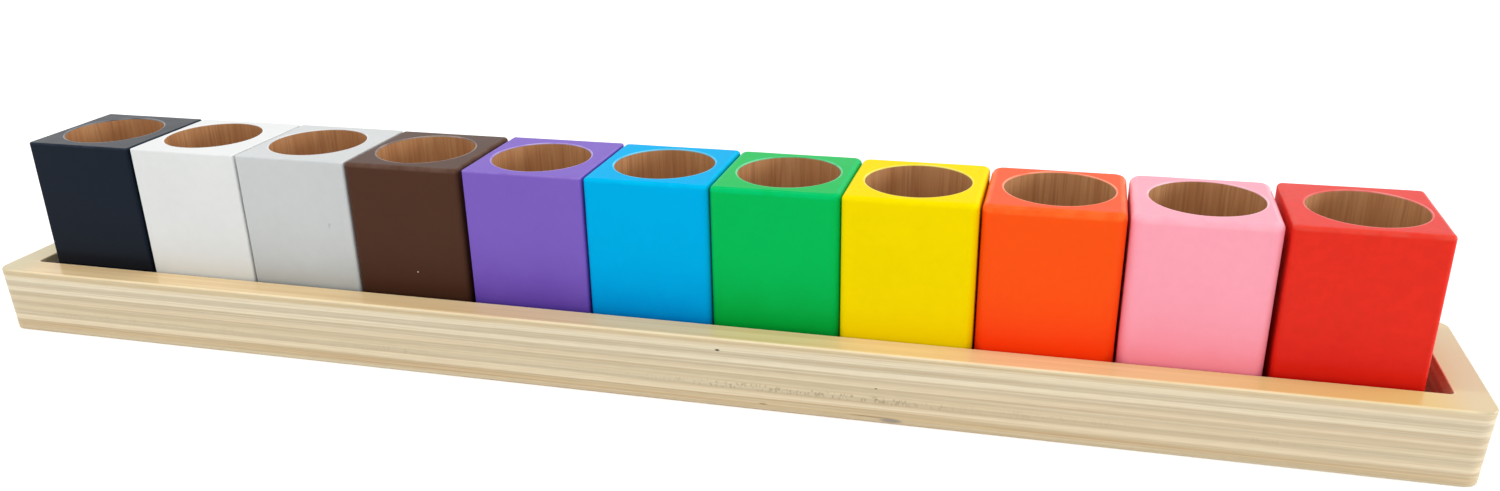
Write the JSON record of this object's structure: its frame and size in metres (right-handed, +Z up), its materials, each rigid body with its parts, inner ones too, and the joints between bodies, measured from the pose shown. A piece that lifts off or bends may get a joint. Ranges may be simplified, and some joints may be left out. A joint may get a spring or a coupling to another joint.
{
  "type": "crayon holder",
  "caption": "Long open plywood tray with a row of painted, drilled square wooden blocks that hold crayons upright; each block lifts out of the tray.",
  "frame": {"origin": "middle of the tray's flat underside", "axes": "+X along the row of blocks to the viewer's right, +Y to the back, +Z up, the way the blocks lift"},
  "size_m": [0.4312, 0.055, 0.0602],
  "materials": {
    "base_plywood": "thin plywood, satin clear lacquer",
    "plywood": "plywood with its layers showing at the edges, satin clear lacquer",
    "black_paint": "wood with black satin paint outside, bare inside the hole",
    "white_paint": "wood with white satin paint outside, bare inside the hole",
    "grey_paint": "wood with grey satin paint outside, bare inside the hole",
    "brown_paint": "wood with brown satin paint outside, bare inside the hole",
    "purple_paint": "wood with purple satin paint outside, bare inside the hole",
    "blue_paint": "wood with blue satin paint outside, bare inside the hole",
    "green_paint": "wood with green satin paint outside, bare inside the hole",
    "yellow_paint": "wood with yellow satin paint outside, bare inside the hole",
    "orange_paint": "wood with orange satin paint outside, bare inside the hole",
    "pink_paint": "wood with pink satin paint outside, bare inside the hole",
    "red_paint": "wood with red satin paint outside, bare inside the hole"
  },
  "bodies": {
    "tray": {"tray_base": "base_plywood", "tray_frame": "plywood"},
    "black_block": {"black_block": "black_paint"},
    "white_block": {"white_block": "white_paint"},
    "grey_block": {"grey_block": "grey_paint"},
    "brown_block": {"brown_block": "brown_paint"},
    "purple_block": {"purple_block": "purple_paint"},
    "blue_block": {"blue_block": "blue_paint"},
    "green_block": {"green_block": "green_paint"},
    "yellow_block": {"yellow_block": "yellow_paint"},
    "orange_block": {"orange_block": "orange_paint"},
    "pink_block": {"pink_block": "pink_paint"},
    "red_block": {"red_block": "red_paint"}
  },
  "joints": [
    {"name": "lift_black", "type": "slide", "parent": "tray", "child": "black_block", "axis": [0, 0, 1], "range_m": [0, 0.065]},
    {"name": "lift_white", "type": "slide", "parent": "tray", "child": "white_block", "axis": [0, 0, 1], "range_m": [0, 0.065]},
    {"name": "lift_grey", "type": "slide", "parent": "tray", "child": "grey_block", "axis": [0, 0, 1], "range_m": [0, 0.065]},
    {"name": "lift_brown", "type": "slide", "parent": "tray", "child": "brown_block", "axis": [0, 0, 1], "range_m": [0, 0.065]},
    {"name": "lift_purple", "type": "slide", "parent": "tray", "child": "purple_block", "axis": [0, 0, 1], "range_m": [0, 0.065]},
    {"name": "lift_blue", "type": "slide", "parent": "tray", "child": "blue_block", "axis": [0, 0, 1], "range_m": [0, 0.065]},
    {"name": "lift_green", "type": "slide", "parent": "tray", "child": "green_block", "axis": [0, 0, 1], "range_m": [0, 0.065]},
    {"name": "lift_yellow", "type": "slide", "parent": "tray", "child": "yellow_block", "axis": [0, 0, 1], "range_m": [0, 0.065]},
    {"name": "lift_orange", "type": "slide", "parent": "tray", "child": "orange_block", "axis": [0, 0, 1], "range_m": [0, 0.065]},
    {"name": "lift_pink", "type": "slide", "parent": "tray", "child": "pink_block", "axis": [0, 0, 1], "range_m": [0, 0.065]},
    {"name": "lift_red", "type": "slide", "parent": "tray", "child": "red_block", "axis": [0, 0, 1], "range_m": [0, 0.065]}
  ]
}
